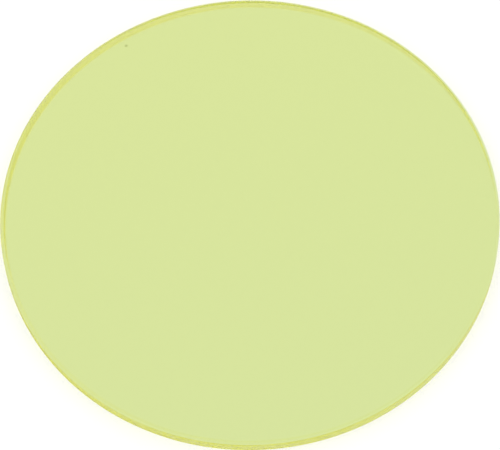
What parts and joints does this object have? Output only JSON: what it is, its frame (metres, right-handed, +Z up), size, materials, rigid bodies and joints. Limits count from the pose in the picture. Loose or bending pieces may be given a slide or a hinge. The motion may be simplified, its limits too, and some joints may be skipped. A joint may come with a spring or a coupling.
{
  "type": "microscope filter",
  "caption": "Round flat disc of pale yellow-green glass with polished faces and a ground, bevelled rim, laid in a microscope's filter holder to tint its light.",
  "frame": {"origin": "centre of the lower polished face, on the disc's axis", "axes": "+Z up along the disc's axis, square to both faces; +X and +Y lie in the lower face, and because the disc is round, their turn about +Z is free"},
  "size_m": [0.045, 0.045, 0.0016],
  "materials": {
    "coloured_glass": "clear yellow-green glass tinted right through, with polished faces and a finely ground rim and bevels"
  },
  "bodies": {
    "root": {"filter_glass": "coloured_glass"}
  },
  "joints": []
}
